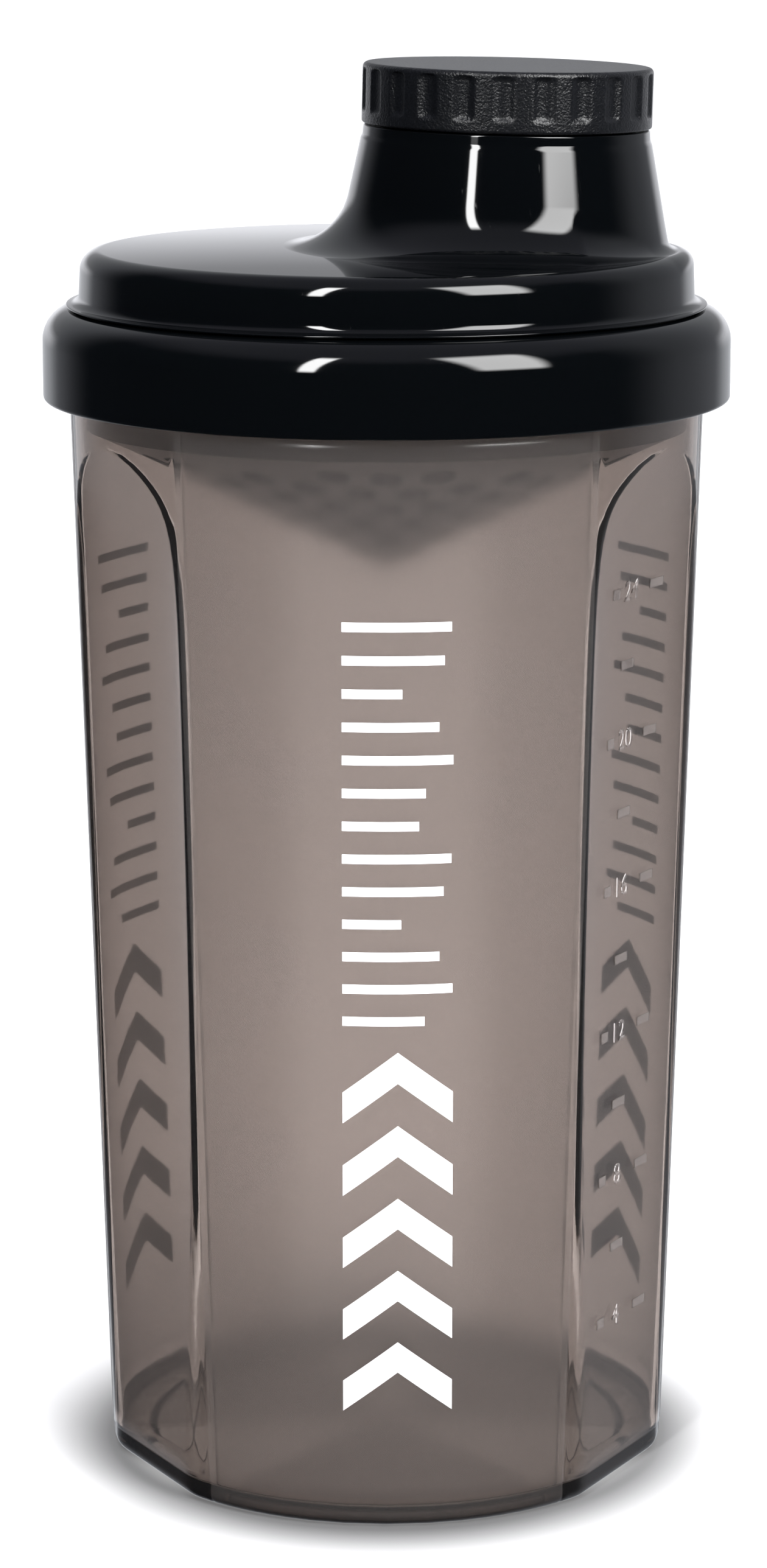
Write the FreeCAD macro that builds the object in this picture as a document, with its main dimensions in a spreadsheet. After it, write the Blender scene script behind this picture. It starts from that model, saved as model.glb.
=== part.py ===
import FreeCAD, Part
import Sketcher
import math
import os

# A protein shaker bottle: a tapered cup with three plain panels and three
# scooped grip flutes, a cone-shaped strainer hung in its neck, a screw lid with
# a leaning off-centre spout, and a ribbed screw cap with its sealing disc.
#
# Frame: millimetres, +Z up, origin in the middle of the base, front towards -Y.
# The spout and its cap are drawn upright about their own axis, then set on the
# lid's deck and tipped by spout_lean towards +X.

SIZES = {
    # cup
    "base_r": 42.0, "base_rounding": 2.0, "ring_z": 3.8, "ring_r": 42.3,
    "floor_thickness": 2.4, "wall": 1.6, "body_top_z": 161.0, "body_top_r": 46.6,
    "neck_r": 46.3, "neck_inner_r": 44.7, "lip_z": 168.2,
    # grip flutes: a concave floor that ends in a scooped arch
    "flute_floor_r": 37.3, "flute_bend_r": 63.0, "flute_draft": 1.638,
    "arch_start_z": 122.0, "arch_floor_r": 40.6, "arch_bend_r": 100.2,
    # lid
    "collar_r": 50.5, "collar_inner_r": 48.2, "collar_z": 160.6,
    "shoulder_z": 168.6, "shoulder_bend_r": 5.2, "shoulder_inner_bend_r": 2.9,
    "tier_foot_r": 45.3, "tier_foot_z": 173.8, "tier_top_r": 44.95, "tier_edge_r": 2.9,
    "tier_inner_r": 43.2, "deck_z": 181.5, "deck_thickness": 2.2,
    "lip_outer_r": 42.7, "lip_inner_r": 41.6, "lip_foot_z": 167.6,
    # big thread between the cup and the lid
    "lid_pitch": 5.0, "cup_crest_r": 47.7, "lid_crest_r": 46.9,
    "cup_thread_z": 162.3, "cup_thread_rise": 4.5,
    "lid_thread_z": 162.1, "lid_thread_rise": 5.0,
    "lid_ridge_foot": 1.2, "lid_ridge_tip": 0.55,
    # strainer
    "apex_z": 134.8, "strainer_skin": 1.7, "strainer_r": 44.2, "strainer_edge_z": 156.9,
    "strainer_inner_r": 43.0, "flange_r": 46.0, "flange_z": 168.4, "flange_thickness": 1.0,
    "strainer_corner": 1.1, "hole_pitch": 7.2, "hole_r": 2.5, "outermost_hole": 39.0,
    # lid gasket
    "gasket_inner_r": 42.8, "gasket_r": 45.2, "gasket_z": 169.7, "gasket_thickness": 1.8,
    # spout, in heights above the deck
    "spout_x": 17.06, "spout_lean": 1.3, "spout_sink": 1.4,
    "flare_r": 27.4, "flare_bend_r": 3.2, "flare_height": 3.0, "spout_foot_r": 23.95,
    "spout_top_r": 20.85, "spout_height": 18.4, "mouth_r": 17.6, "mouth_height": 24.7,
    "bore_r": 15.6, "bore_step_height": 16.9, "bore_cone_top_r": 18.9,
    "bore_cone_height": 15.4, "bore_cone_r": 22.2,
    # small thread between the spout and the cap
    "cap_pitch": 3.0, "mouth_crest_r": 18.55, "cap_crest_r": 18.05,
    "mouth_thread_z": 20.4, "mouth_thread_rise": 2.75,
    "cap_thread_z": 19.9, "cap_thread_rise": 2.75,
    "cap_ridge_foot": 0.75, "cap_ridge_tip": 0.35,
    # cap
    "cap_r": 21.15, "cap_inner_r": 19.0, "cap_foot": 18.9, "cap_ceiling": 26.2,
    "cap_top": 27.8, "cap_edge_r": 0.8,
    "grip_depth": 0.5, "grip_bend_r": 2.65, "grip_foot": 20.7, "grip_count": 23,
    # sealing disc in the cap
    "liner_r": 17.9, "liner_foot": 24.95, "liner_thickness": 1.05,
}

FLUTE_AZIMUTHS = (-30, -150, 90)       # degrees from +X: either side of the front, and the back
LID_THREAD_TURN = 166                  # degrees: puts each ridge midway in the other's groove
CAP_THREAD_TURN = 120
FRONT_GRIP_ANGLE = -92.9               # degrees from +X to the grip nearest the front
EMBED = 0.3                            # how deep a ridge's root sits in the wall that carries it
REACH = 200.0                          # longer than anything it cuts
FLUTE_SPAN = 60.0                      # wider than any flute
BELOW = 20.0                           # how far the flute tools start under the base

doc = FreeCAD.newDocument("Shaker")

sheet = doc.addObject("Spreadsheet::Sheet", "dims")
for row, (word, size) in enumerate(SIZES.items(), start=1):
    sheet.set(f"A{row}", word)
    sheet.set(f"B{row}", str(size))
    sheet.setAlias(f"B{row}", word)
doc.recompute()


def worth(words):
    """The value of a sum of sheet cells and numbers, such as "wall + 2"."""
    total = 0.0
    sign = 1
    for word in words.split():
        if word in ("+", "-"):
            sign = 1 if word == "+" else -1
        else:
            total += sign * (float(sheet.get(word)) if word in SIZES else float(word))
    return total


def linked(words):
    """The same sum as an expression that follows the sheet."""
    return " ".join("dims." + word if word in SIZES else word for word in words.split())


def bind(item, **cells):
    """Bind each named property of a feature to a sum of sheet cells."""
    for name, words in cells.items():
        item.setExpression(name, linked(words))


# ---------------------------------------------------------------- sketches

def new_body(name, place=None):
    body = doc.addObject("PartDesign::Body", name)
    body.Label = name
    if place is not None:
        body.Placement = place
    return body


def sketch_on(body, name, plane):
    """A sketch on one of the body's own origin planes."""
    sketch = body.newObject("Sketcher::SketchObject", name)
    support = next(item for item in body.Origin.OriginFeatures if item.Role == plane)
    sketch.AttachmentSupport = [(support, "")]
    sketch.MapMode = "FlatFace"
    return sketch


def hold(sketch, kind, where, words):
    """Hold a point's distance from the sketch's axes, or an arc's radius, to the sheet."""
    index = sketch.addConstraint(Sketcher.Constraint(kind, *where, worth(words)))
    name = f"{kind}_{index}"
    sketch.renameConstraint(index, name)
    sketch.setExpression("Constraints." + name, linked(words))


def arc_between(start, end, radius, turn):
    """The short arc from start to end; turn is 1 for counter-clockwise, -1 for clockwise."""
    chord = end.sub(start)
    rise = math.sqrt(radius ** 2 - (chord.Length / 2) ** 2)
    left = FreeCAD.Vector(-chord.y, chord.x, 0).normalize()
    centre = start.add(chord.multiply(0.5)).add(left.multiply(turn * rise))
    first, last = (start, end) if turn > 0 else (end, start)
    angles = [math.atan2(point.y - centre.y, point.x - centre.x) for point in (first, last)]
    circle = Part.Circle(centre, FreeCAD.Vector(0, 0, 1), radius)
    return Part.ArcOfCircle(circle, angles[0], angles[1])


def outline(sketch, steps):
    """A closed outline through the steps, each (across, up) as sums of sheet cells.

    A step of four is reached by an arc of that radius and turn, any other by a line.
    """
    points = [FreeCAD.Vector(worth(step[0]), worth(step[1]), 0) for step in steps]
    ends = []
    for index, step in enumerate(steps):
        start, end = points[index - 1], points[index]
        if len(step) == 4:
            sketch.addGeometry(arc_between(start, end, worth(step[2]), step[3]), False)
            ends.append((1, 2) if step[3] > 0 else (2, 1))
        else:
            sketch.addGeometry(Part.LineSegment(start, end), False)
            ends.append((1, 2))
    for index in range(len(steps)):
        after = (index + 1) % len(steps)
        joint = (index, ends[index][1], after, ends[after][0])
        sketch.addConstraint(Sketcher.Constraint("Coincident", *joint))
    for index, step in enumerate(steps):
        corner = (index, ends[index][1])
        for axis, kind, words in ((-2, "DistanceX", step[0]), (-1, "DistanceY", step[1])):
            if worth(words) == 0:
                sketch.addConstraint(Sketcher.Constraint("PointOnObject", *corner, axis))
            else:
                hold(sketch, kind, (-1, 1, *corner), words)
        if len(step) == 4:
            hold(sketch, "Radius", (index,), step[2])


def turned(name, steps, place=None):
    """A body turned about its own Z axis from a closed outline."""
    body = new_body(name, place)
    sketch = sketch_on(body, name + "_outline", "XZ_Plane")
    outline(sketch, steps)
    turn = body.newObject("PartDesign::Revolution", name + "_turn")
    turn.Profile = sketch
    turn.ReferenceAxis = (sketch, ["V_Axis"])
    turn.Angle = 360
    return body


def ridge(name, root, crest, middle, foot, tip, pitch, rise, place=None):
    """A thread's ridge: a trapezium, foot and tip being half its widths, wound up a helix."""
    body = new_body(name, place)
    sketch = sketch_on(body, name + "_section", "XZ_Plane")
    outline(sketch, (
        (root, f"{middle} - {foot}"),
        (crest, f"{middle} - {tip}"),
        (crest, f"{middle} + {tip}"),
        (root, f"{middle} + {foot}"),
    ))
    helix = body.newObject("PartDesign::AdditiveHelix", name + "_helix")
    helix.Profile = sketch
    helix.ReferenceAxis = (sketch, ["V_Axis"])
    helix.Mode = "pitch-height-angle"
    bind(helix, Pitch=pitch, Height=rise)
    return body


# ---------------------------------------------------------------- booleans

def cut(name, base, tool):
    item = doc.addObject("Part::Cut", name)
    item.Base = base
    item.Tool = tool
    return item


def fused(name, *shapes):
    item = doc.addObject("Part::MultiFuse", name)
    item.Shapes = list(shapes)
    return item


def common(name, *shapes):
    item = doc.addObject("Part::MultiCommon", name)
    item.Shapes = list(shapes)
    return item


def about_z(angle):
    return FreeCAD.Placement(FreeCAD.Vector(), FreeCAD.Rotation(FreeCAD.Vector(0, 0, 1), angle))


# ---------------------------------------------------------------- cup

def flute_tool(name, azimuth, skin):
    """What one flute takes away: a leaning drum, within the arch that closes its top.

    With a skin the tool grows by it, which leaves the cavity that much short of the flute.
    """
    turn = about_z(azimuth)
    drum = doc.addObject("Part::Cylinder", name + "_drum")
    bind(drum, Radius="flute_bend_r + " + skin)
    drum.Height = REACH
    slope = math.tan(math.radians(worth("flute_draft")))
    across = worth("flute_floor_r + flute_bend_r") - slope * (worth("ring_z") + BELOW)
    lean = FreeCAD.Rotation(FreeCAD.Vector(0, 1, 0), worth("flute_draft"))
    drum.Placement = turn.multiply(FreeCAD.Placement(FreeCAD.Vector(across, 0, -BELOW), lean))

    arch = doc.addObject("Part::Cylinder", name + "_arch")
    bind(arch, Radius="arch_bend_r + " + skin)
    arch.Height = FLUTE_SPAN
    middle = FreeCAD.Vector(worth("arch_floor_r + arch_bend_r"), FLUTE_SPAN / 2, worth("arch_start_z"))
    sideways = FreeCAD.Rotation(FreeCAD.Vector(1, 0, 0), 90)
    arch.Placement = turn.multiply(FreeCAD.Placement(middle, sideways))

    lower = doc.addObject("Part::Box", name + "_lower")
    lower.Length = REACH
    lower.Width = FLUTE_SPAN
    lower.Height = worth("arch_start_z") + BELOW
    lower.Placement = turn.multiply(
        FreeCAD.Placement(FreeCAD.Vector(0, -FLUTE_SPAN / 2, -BELOW), FreeCAD.Rotation()))
    return common(name, drum, fused(name + "_reach", arch, lower))


def round_base(solid, radius):
    """Round the edge all round the underside."""
    doc.recompute()
    edges = [
        (index, radius, radius)
        for index, edge in enumerate(solid.Shape.Edges, start=1)
        if max(abs(vertex.Z) for vertex in edge.Vertexes) < 0.01
    ]
    rounded = doc.addObject("Part::Fillet", "cup_rounded")
    rounded.Base = solid
    rounded.Edges = edges
    return rounded


def make_cup():
    """Tinted clear cup: outside with its flutes, less the cavity, with the neck's thread."""
    outside = turned("cup_outside", (
        ("0", "0"),
        ("base_r", "0"),
        ("base_r", "ring_z"),
        ("ring_r", "ring_z"),
        ("body_top_r", "body_top_z"),
        ("neck_r", "body_top_z"),
        ("neck_r", "lip_z"),
        ("0", "lip_z"),
    ))
    cavity = turned("cup_cavity", (
        ("0", "floor_thickness"),
        ("ring_r - wall - 2", "floor_thickness"),
        ("ring_r - wall", "floor_thickness + 2", "2", 1),
        ("neck_inner_r", "body_top_z - 3"),
        ("neck_inner_r", "lip_z + 1"),
        ("0", "lip_z + 1"),
    ))
    outer_tools = []
    inner_tools = []
    for number, azimuth in enumerate(FLUTE_AZIMUTHS, start=1):
        outer_tools.append(flute_tool(f"flute_{number}", azimuth, "0"))
        inner_tools.append(flute_tool(f"flute_{number}_inside", azimuth, "wall"))
    fluted = cut("cup_fluted", outside, fused("flutes", *outer_tools))
    rounded = round_base(fluted, worth("base_rounding"))
    hollow = cut("cup_hollow", cavity, fused("flutes_inside", *inner_tools))
    shell = cut("cup_shell", rounded, hollow)
    thread = ridge("cup_thread", f"neck_r - {EMBED}", "cup_crest_r", "cup_thread_z",
                   "lid_ridge_foot", "lid_ridge_tip", "lid_pitch", "cup_thread_rise")
    return fused("cup", shell, thread)


# ---------------------------------------------------------------- strainer

def make_strainer():
    """Black cone with a wall and a flange that rests on the cup's lip, drilled on a honeycomb."""
    body = turned("strainer", (
        ("0", "apex_z"),
        ("strainer_r", "strainer_edge_z"),
        ("strainer_r", "flange_z"),
        ("flange_r", "flange_z"),
        ("flange_r", "flange_z + flange_thickness"),
        ("strainer_inner_r", "flange_z + flange_thickness"),
        ("strainer_inner_r", "strainer_edge_z + strainer_corner"),
        ("0", "apex_z + strainer_skin"),
    ))
    holes = sketch_on(body, "strainer_holes", "XY_Plane")
    pitch = worth("hole_pitch")
    for ring in range(1, 7):
        for step in range(ring):
            across = ring - step / 2
            along = step * math.sqrt(3) / 2
            if math.hypot(across, along) * pitch > worth("outermost_hole"):
                continue
            centre = FreeCAD.Vector(across * pitch, along * pitch, 0)
            circle = Part.Circle(centre, FreeCAD.Vector(0, 0, 1), worth("hole_r"))
            index = holes.addGeometry(circle, False)
            middle = (-1, 1, index, 3)
            for kind, share in (("DistanceX", across), ("DistanceY", along)):
                if share == 0:
                    holes.addConstraint(Sketcher.Constraint("PointOnObject", index, 3, -1))
                    continue
                place = holes.addConstraint(Sketcher.Constraint(kind, *middle, share * pitch))
                holes.renameConstraint(place, f"{kind}_{place}")
                holes.setExpression(f"Constraints.{kind}_{place}", f"dims.hole_pitch * {share:.6f}")
            hold(holes, "Radius", (index,), "hole_r")
    drill = body.newObject("PartDesign::Pocket", "strainer_drill")
    drill.Profile = holes
    drill.Type = "Length"
    drill.Length = REACH
    drill.Reversed = True
    fan = body.newObject("PartDesign::PolarPattern", "strainer_fan")
    fan.Originals = [drill]
    fan.Axis = (holes, ["N_Axis"])
    fan.Angle = 360
    fan.Occurrences = 6
    body.Tip = fan
    return body


# ---------------------------------------------------------------- lid

def spout_place():
    """Where the upright spout stands on the deck, and how it leans."""
    lean = FreeCAD.Rotation(FreeCAD.Vector(0, 1, 0), worth("spout_lean"))
    return FreeCAD.Placement(FreeCAD.Vector(worth("spout_x"), 0, worth("deck_z")), lean)


def make_lid():
    """Gloss black screw lid: collar, shoulder, raised tier, inner lip, and the leaning spout."""
    shell = turned("lid_shell", (
        ("0", "deck_z - deck_thickness"),
        ("tier_inner_r", "deck_z - deck_thickness"),
        ("tier_inner_r", "tier_foot_z + 0.4"),
        ("lip_inner_r", "tier_foot_z - 1"),
        ("lip_inner_r", "lip_foot_z"),
        ("lip_outer_r", "lip_foot_z"),
        ("lip_outer_r", "shoulder_z + shoulder_inner_bend_r"),
        ("tier_foot_r", "shoulder_z + shoulder_inner_bend_r"),
        ("collar_inner_r", "shoulder_z", "shoulder_inner_bend_r", -1),
        ("collar_inner_r", "collar_z"),
        ("collar_r", "collar_z"),
        ("collar_r", "shoulder_z"),
        ("tier_foot_r", "tier_foot_z", "shoulder_bend_r", 1),
        ("tier_top_r", "deck_z - tier_edge_r"),
        ("tier_top_r - tier_edge_r", "deck_z", "tier_edge_r", 1),
        ("0", "deck_z"),
    ))
    spout = turned("spout_outside", (
        ("0", "0 - spout_sink"),
        ("flare_r", "0 - spout_sink"),
        ("flare_r", "0"),
        ("spout_foot_r", "flare_height", "flare_bend_r", -1),
        ("spout_top_r", "spout_height"),
        ("mouth_r", "spout_height"),
        ("mouth_r", "mouth_height"),
        ("0", "mouth_height"),
    ), spout_place())
    bore = turned("spout_bore", (
        ("0", "0 - 5"),
        ("bore_cone_r", "0 - 5"),
        ("bore_cone_r", "0"),
        ("bore_cone_top_r", "bore_cone_height"),
        ("bore_r", "bore_step_height"),
        ("bore_r", "mouth_height + 1"),
        ("0", "mouth_height + 1"),
    ), spout_place())
    mouth_thread = ridge("mouth_thread", f"mouth_r - {EMBED}", "mouth_crest_r", "mouth_thread_z",
                         "cap_ridge_foot", "cap_ridge_tip", "cap_pitch", "mouth_thread_rise",
                         spout_place())
    lid_thread = ridge("lid_thread", f"collar_inner_r + {EMBED}", "lid_crest_r", "lid_thread_z",
                       "lid_ridge_foot", "lid_ridge_tip", "lid_pitch", "lid_thread_rise",
                       about_z(LID_THREAD_TURN))
    hollow_spout = cut("lid_bored", fused("lid_solid", shell, spout), bore)
    return fused("lid", hollow_spout, mouth_thread, lid_thread)


def make_gasket():
    """Silicone ring between the lid's shoulder and the strainer's flange."""
    return turned("lid_gasket", (
        ("gasket_inner_r", "gasket_z"),
        ("gasket_r", "gasket_z"),
        ("gasket_r", "gasket_z + gasket_thickness"),
        ("gasket_inner_r", "gasket_z + gasket_thickness"),
    ))


# ---------------------------------------------------------------- cap

def make_cap():
    """Matt black screw cap with scooped grips round its side."""
    blank = turned("cap_blank", (
        ("0", "cap_ceiling"),
        ("cap_inner_r", "cap_ceiling"),
        ("cap_inner_r", "cap_foot"),
        ("cap_r", "cap_foot"),
        ("cap_r", "cap_top - cap_edge_r"),
        ("cap_r - cap_edge_r", "cap_top", "cap_edge_r", 1),
        ("0", "cap_top"),
    ), spout_place())
    grip = sketch_on(blank, "grip_section", "XY_Plane")
    grip.setExpression("AttachmentOffset.Base.z", "dims.grip_foot")
    reach = worth("cap_r - grip_depth + grip_bend_r")
    angle = math.radians(FRONT_GRIP_ANGLE)
    centre = FreeCAD.Vector(reach * math.cos(angle), reach * math.sin(angle), 0)
    circle = Part.Circle(centre, FreeCAD.Vector(0, 0, 1), worth("grip_bend_r"))
    grip.addGeometry(circle, False)
    hold(grip, "Radius", (0,), "grip_bend_r")
    for kind, share in (("DistanceX", math.cos(angle)), ("DistanceY", math.sin(angle))):
        place = grip.addConstraint(Sketcher.Constraint(kind, -1, 1, 0, 3, reach * share))
        grip.renameConstraint(place, kind)
        words = f"(dims.cap_r - dims.grip_depth + dims.grip_bend_r) * {share:.8f}"
        grip.setExpression("Constraints." + kind, words)
    scoop = blank.newObject("PartDesign::Pocket", "grip_scoop")
    scoop.Profile = grip
    scoop.Type = "Length"
    scoop.Length = REACH
    scoop.Reversed = True
    grips = blank.newObject("PartDesign::PolarPattern", "grips")
    grips.Originals = [scoop]
    grips.Axis = (grip, ["N_Axis"])
    grips.Angle = 360
    bind(grips, Occurrences="grip_count")
    blank.Tip = grips
    thread_place = spout_place().multiply(about_z(CAP_THREAD_TURN))
    thread = ridge("cap_thread", f"cap_inner_r + {EMBED}", "cap_crest_r", "cap_thread_z",
                   "cap_ridge_foot", "cap_ridge_tip", "cap_pitch", "cap_thread_rise",
                   thread_place)
    return fused("spout_cap", blank, thread)


def make_liner():
    """Soft sealing disc under the cap's top, just above the rim of the mouth."""
    return turned("cap_liner", (
        ("0", "liner_foot"),
        ("liner_r", "liner_foot"),
        ("liner_r", "liner_foot + liner_thickness"),
        ("0", "liner_foot + liner_thickness"),
    ), spout_place())


# ---------------------------------------------------------------- build and write

pieces = [make_cup(), make_strainer(), make_lid(), make_gasket(), make_cap(), make_liner()]
doc.recompute()

for item in doc.Objects:
    if "Invalid" in item.State or "Error" in item.State:
        raise SystemExit(f"{item.Name} failed: {item.State}")

os.makedirs("parts", exist_ok=True)
for piece in pieces:
    shape = piece.Shape
    if shape.isNull() or not shape.isValid() or len(shape.Solids) != 1:
        raise SystemExit(f"{piece.Label} isn't one valid solid")
    shape.exportStep(f"parts/{piece.Label}.step")
    box = shape.BoundBox
    print(f"{piece.Label}: {shape.Volume:.0f} mm3, z {box.ZMin:.1f} to {box.ZMax:.1f}")
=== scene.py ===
import bpy
import numpy as np
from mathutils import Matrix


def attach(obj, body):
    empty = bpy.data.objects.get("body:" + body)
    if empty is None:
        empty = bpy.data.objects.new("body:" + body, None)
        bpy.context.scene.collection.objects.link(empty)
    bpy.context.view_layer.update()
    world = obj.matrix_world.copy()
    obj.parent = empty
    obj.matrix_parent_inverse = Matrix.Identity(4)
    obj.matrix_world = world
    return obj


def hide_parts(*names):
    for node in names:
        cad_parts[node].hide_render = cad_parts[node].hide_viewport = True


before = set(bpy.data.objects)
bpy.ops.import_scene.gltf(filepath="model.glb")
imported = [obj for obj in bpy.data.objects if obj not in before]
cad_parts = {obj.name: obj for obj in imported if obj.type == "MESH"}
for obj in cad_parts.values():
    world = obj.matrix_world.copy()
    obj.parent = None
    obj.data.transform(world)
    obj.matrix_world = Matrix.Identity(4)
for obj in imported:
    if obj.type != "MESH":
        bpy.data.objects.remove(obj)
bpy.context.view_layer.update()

# A protein shaker bottle. All shapes are worked out in millimetres in the frame of the
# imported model: +Z up from the middle of the base, the front panel towards -Y.

# ---------------------------------------------------------------- cup
# The cup is one injection moulding in smoke-tinted clear copolyester. Three frosted
# panels and three polished, scooped grip flutes run from the base band to an arch
# below the lid, and the neck above them carries a coarse outside thread.

RING_Z = 3.8                # parting line above the base band
RING_R = 42.3
BAND_INSET = 0.18           # the base band stands back from the body
BASE_ROUNDING = 2.0
FLOOR_Z = 2.4               # top of the cup's floor
FLOOR_CORNER = 2.2          # radius of the corner inside, where floor and wall meet
UNDERSIDE_Z = 0.8           # how far the underside is recessed within its foot ring
WALL = 1.6
BODY_TOP_Z = 161.0
BODY_TOP_R = 46.6
LIP_Z = 168.2
NECK_R = 46.3
NECK_INNER_R = 44.7
FLUTE_AZIMUTHS = (-30.0, 90.0, 210.0)
FLUTE_FLOOR_R = 37.3        # from the cup's axis to the flute's floor at the parting line
FLUTE_BEND = 63.0           # radius of the flute's concave section
FLUTE_DRAFT = np.radians(1.638)
ARCH_START_Z = 122.0
ARCH_FLOOR_R = 40.6
ARCH_BEND = 100.2
EDGE_SOFTNESS = 0.32        # depth over which panel and flute run into each other
RIM_SOFTNESS = 0.08         # the same along the top of the arch, where they meet at a flat angle
ARCH_SOFTNESS = 2.6         # the same for the flute's two surfaces, which rounds the arch's corners
RIM_TOP_Z = (138.0, 147.0)  # heights between which the softness changes over
CREASE_DEPTH = 0.10         # a hairline beside each edge of a flute
CREASE_HALF = 0.3
CREASE_R = 46.0             # radius at which the crease's width is measured
LID_PITCH = 5.0
RIDGE_FOOT, RIDGE_TIP = 1.2, 0.55   # half widths of the big thread's ridge


def panel_radius(z):
    """Panel radius: a straight taper from the parting line to the top of the body."""
    return RING_R + (z - RING_Z) * (BODY_TOP_R - RING_R) / (BODY_TOP_Z - RING_Z)


def drum_middle(z):
    """Distance of the leaning drum that scoops a flute, from the cup's axis."""
    return FLUTE_FLOOR_R + FLUTE_BEND + np.tan(FLUTE_DRAFT) * (z - RING_Z)


def soft_min(a, b, k):
    """The smaller of two arrays, rounded where they are within k of each other."""
    near = np.clip(k - np.abs(a - b), 0, None) / k
    return np.minimum(a, b) - near ** 2 * k / 4


def flute_half_angle(z, skin):
    """Where the drum's circle crosses the panel's circle, seen from the cup's axis."""
    c = drum_middle(z)
    r = panel_radius(z) - skin
    return np.degrees(np.arccos((c ** 2 + r ** 2 - (FLUTE_BEND + skin) ** 2) / (2 * c * r)))


def arch_floor(z, skin):
    """Flat-across arc that leads the flute's floor outwards to the panel's radius."""
    rise = np.clip(z - ARCH_START_Z, 0, None)
    return ARCH_FLOOR_R + ARCH_BEND - np.sqrt((ARCH_BEND + skin) ** 2 - rise ** 2)


def cup_radius(azimuth, z, skin=0.0):
    """Radius of the cup's wall: the panel, or the flute where that lies further in.

    The flute is the deeper-set of drum and arch: r = c cos a - sqrt(b^2 - c^2 sin^2 a)
    for a drum of radius b at distance c, and floor / cos a for the arch. A hairline
    crease runs on up to the neck from each edge of the flute, where the frost ends.
    """
    a = np.radians((azimuth - FLUTE_AZIMUTHS[0] + 60) % 120 - 60)
    c = drum_middle(z)
    under = (FLUTE_BEND + skin) ** 2 - (c * np.sin(a)) ** 2
    drum = np.where(under > 0, c * np.cos(a) - np.sqrt(np.abs(under)), 99.0)
    arch = arch_floor(z, skin) / np.cos(a)
    flute = -soft_min(-drum, -arch, ARCH_SOFTNESS)
    up = np.clip((z - RIM_TOP_Z[0]) / (RIM_TOP_Z[1] - RIM_TOP_Z[0]), 0, 1)
    softness = EDGE_SOFTNESS + (RIM_SOFTNESS - EDGE_SOFTNESS) * up * up * (3 - 2 * up)
    from_edge = np.radians(np.degrees(np.abs(a)) - flute_half_angle(z, skin)) * CREASE_R
    crease = CREASE_DEPTH * np.exp(-(from_edge / CREASE_HALF) ** 2)
    return soft_min(panel_radius(z) - skin - crease, flute, softness)


def spread(span, first=0.25, growth=1.28):
    """Distances from 0 to span whose steps grow from the first, so that rows crowd an edge."""
    count = int(np.ceil(np.log(1 + span * (growth - 1) / first) / np.log(growth)))
    steps = growth ** np.arange(count)
    return np.concatenate(([0.0], np.cumsum(steps) / steps.sum() * span))


def both_ways(span):
    """Distances from 0 to span, crowded at both ends."""
    half = spread(span / 2)
    return np.concatenate((half, span - half[-2::-1]))


def skin_of(name, grid, closed_rows=False):
    """Mesh over a grid of points in millimetres, rows by columns, whose columns run round.

    The rows either run round too, or the first and last each close on a middle point.
    The faces are turned outwards by the sign of the volume that they enclose.
    """
    rows, columns = grid.shape[:2]
    index = np.arange(rows * columns).reshape(rows, columns)
    if closed_rows:
        index = np.vstack((index, index[:1]))
    after = np.roll(index, -1, axis=1)
    quads = np.stack((index[:-1], after[:-1], after[1:], index[1:]), axis=-1).reshape(-1, 4)
    points = grid.reshape(-1, 3)
    faces = quads.tolist()
    if not closed_rows:
        points = np.vstack((points, grid[0].mean(axis=0), grid[-1].mean(axis=0)))
        first = np.column_stack((after[0], index[0], np.full(columns, rows * columns)))
        last = np.column_stack((index[-1], after[-1], np.full(columns, rows * columns + 1)))
        faces += first.tolist() + last.tolist()
    a, b, c, d = (points[quads[:, i]] for i in range(4))
    volume = np.einsum("ij,ij->", a, np.cross(b, c)) + np.einsum("ij,ij->", a, np.cross(c, d))
    if volume < 0:
        faces = [face[::-1] for face in faces]
    mesh = bpy.data.meshes.new(name)
    mesh.from_pydata((points / 1000).tolist(), [], faces)
    mesh.shade_smooth()
    piece = bpy.data.objects.new(name, mesh)
    bpy.context.scene.collection.objects.link(piece)
    return piece


def round_about(radius, azimuth, z):
    """Points at a radius, azimuth in degrees and height, as x, y, z."""
    radius, azimuth, z = np.broadcast_arrays(radius, np.radians(azimuth), z)
    return np.stack((radius * np.cos(azimuth), radius * np.sin(azimuth), z), axis=-1)


flute_share = np.concatenate((spread(16.0), 32.0 - spread(16.0)[-2::-1])) / 16.0 - 1.0
panel_share = both_ways(57.0)[1:-1] / 57.0


def cup_columns(z, skin):
    """Azimuth of every column at the heights z: columns keep to the flutes' edges."""
    half = flute_half_angle(z, skin)[:, None]
    lanes = []
    for middle in FLUTE_AZIMUTHS:
        lanes.append(middle + half * flute_share)
        lanes.append(middle + half + (120 - 2 * half) * panel_share)
    return np.hstack(lanes)


def arch_heights(skin):
    """Height where the arch meets the panel's radius, for every column; it levels off on panels."""
    z = np.linspace(ARCH_START_Z, BODY_TOP_Z, 400)
    angle = flute_half_angle(np.array([147.0]), skin)[0]
    across = np.radians(np.append(flute_share, np.ones(len(panel_share))) * angle)
    gap = arch_floor(z, skin)[:, None] - (panel_radius(z)[:, None] - skin) * np.cos(across)
    return np.tile(z[np.argmax(gap > 0, axis=0)], 3)


def cup_wall(skin, low, high):
    """Rows of the wall from low to high: even below the arch, crowded along it, even above."""
    arch = arch_heights(skin)
    near = np.array([-3.2, -2.2, -1.5, -1.0, -0.6, -0.3, 0, 0.3, 0.6, 1.0, 1.5, 2.2, 3.0])
    below = low + np.linspace(0, 1, 56)[:-1, None] * (arch + near[0] - low)
    around = arch + near[:, None]
    above = arch + near[-1] + np.linspace(0, 1, 6)[1:, None] * (high - arch - near[-1])
    z = np.vstack((below, around, above))
    azimuth = cup_columns(z.mean(axis=1), skin)
    return round_about(cup_radius(azimuth, z, skin), azimuth, z)


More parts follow.
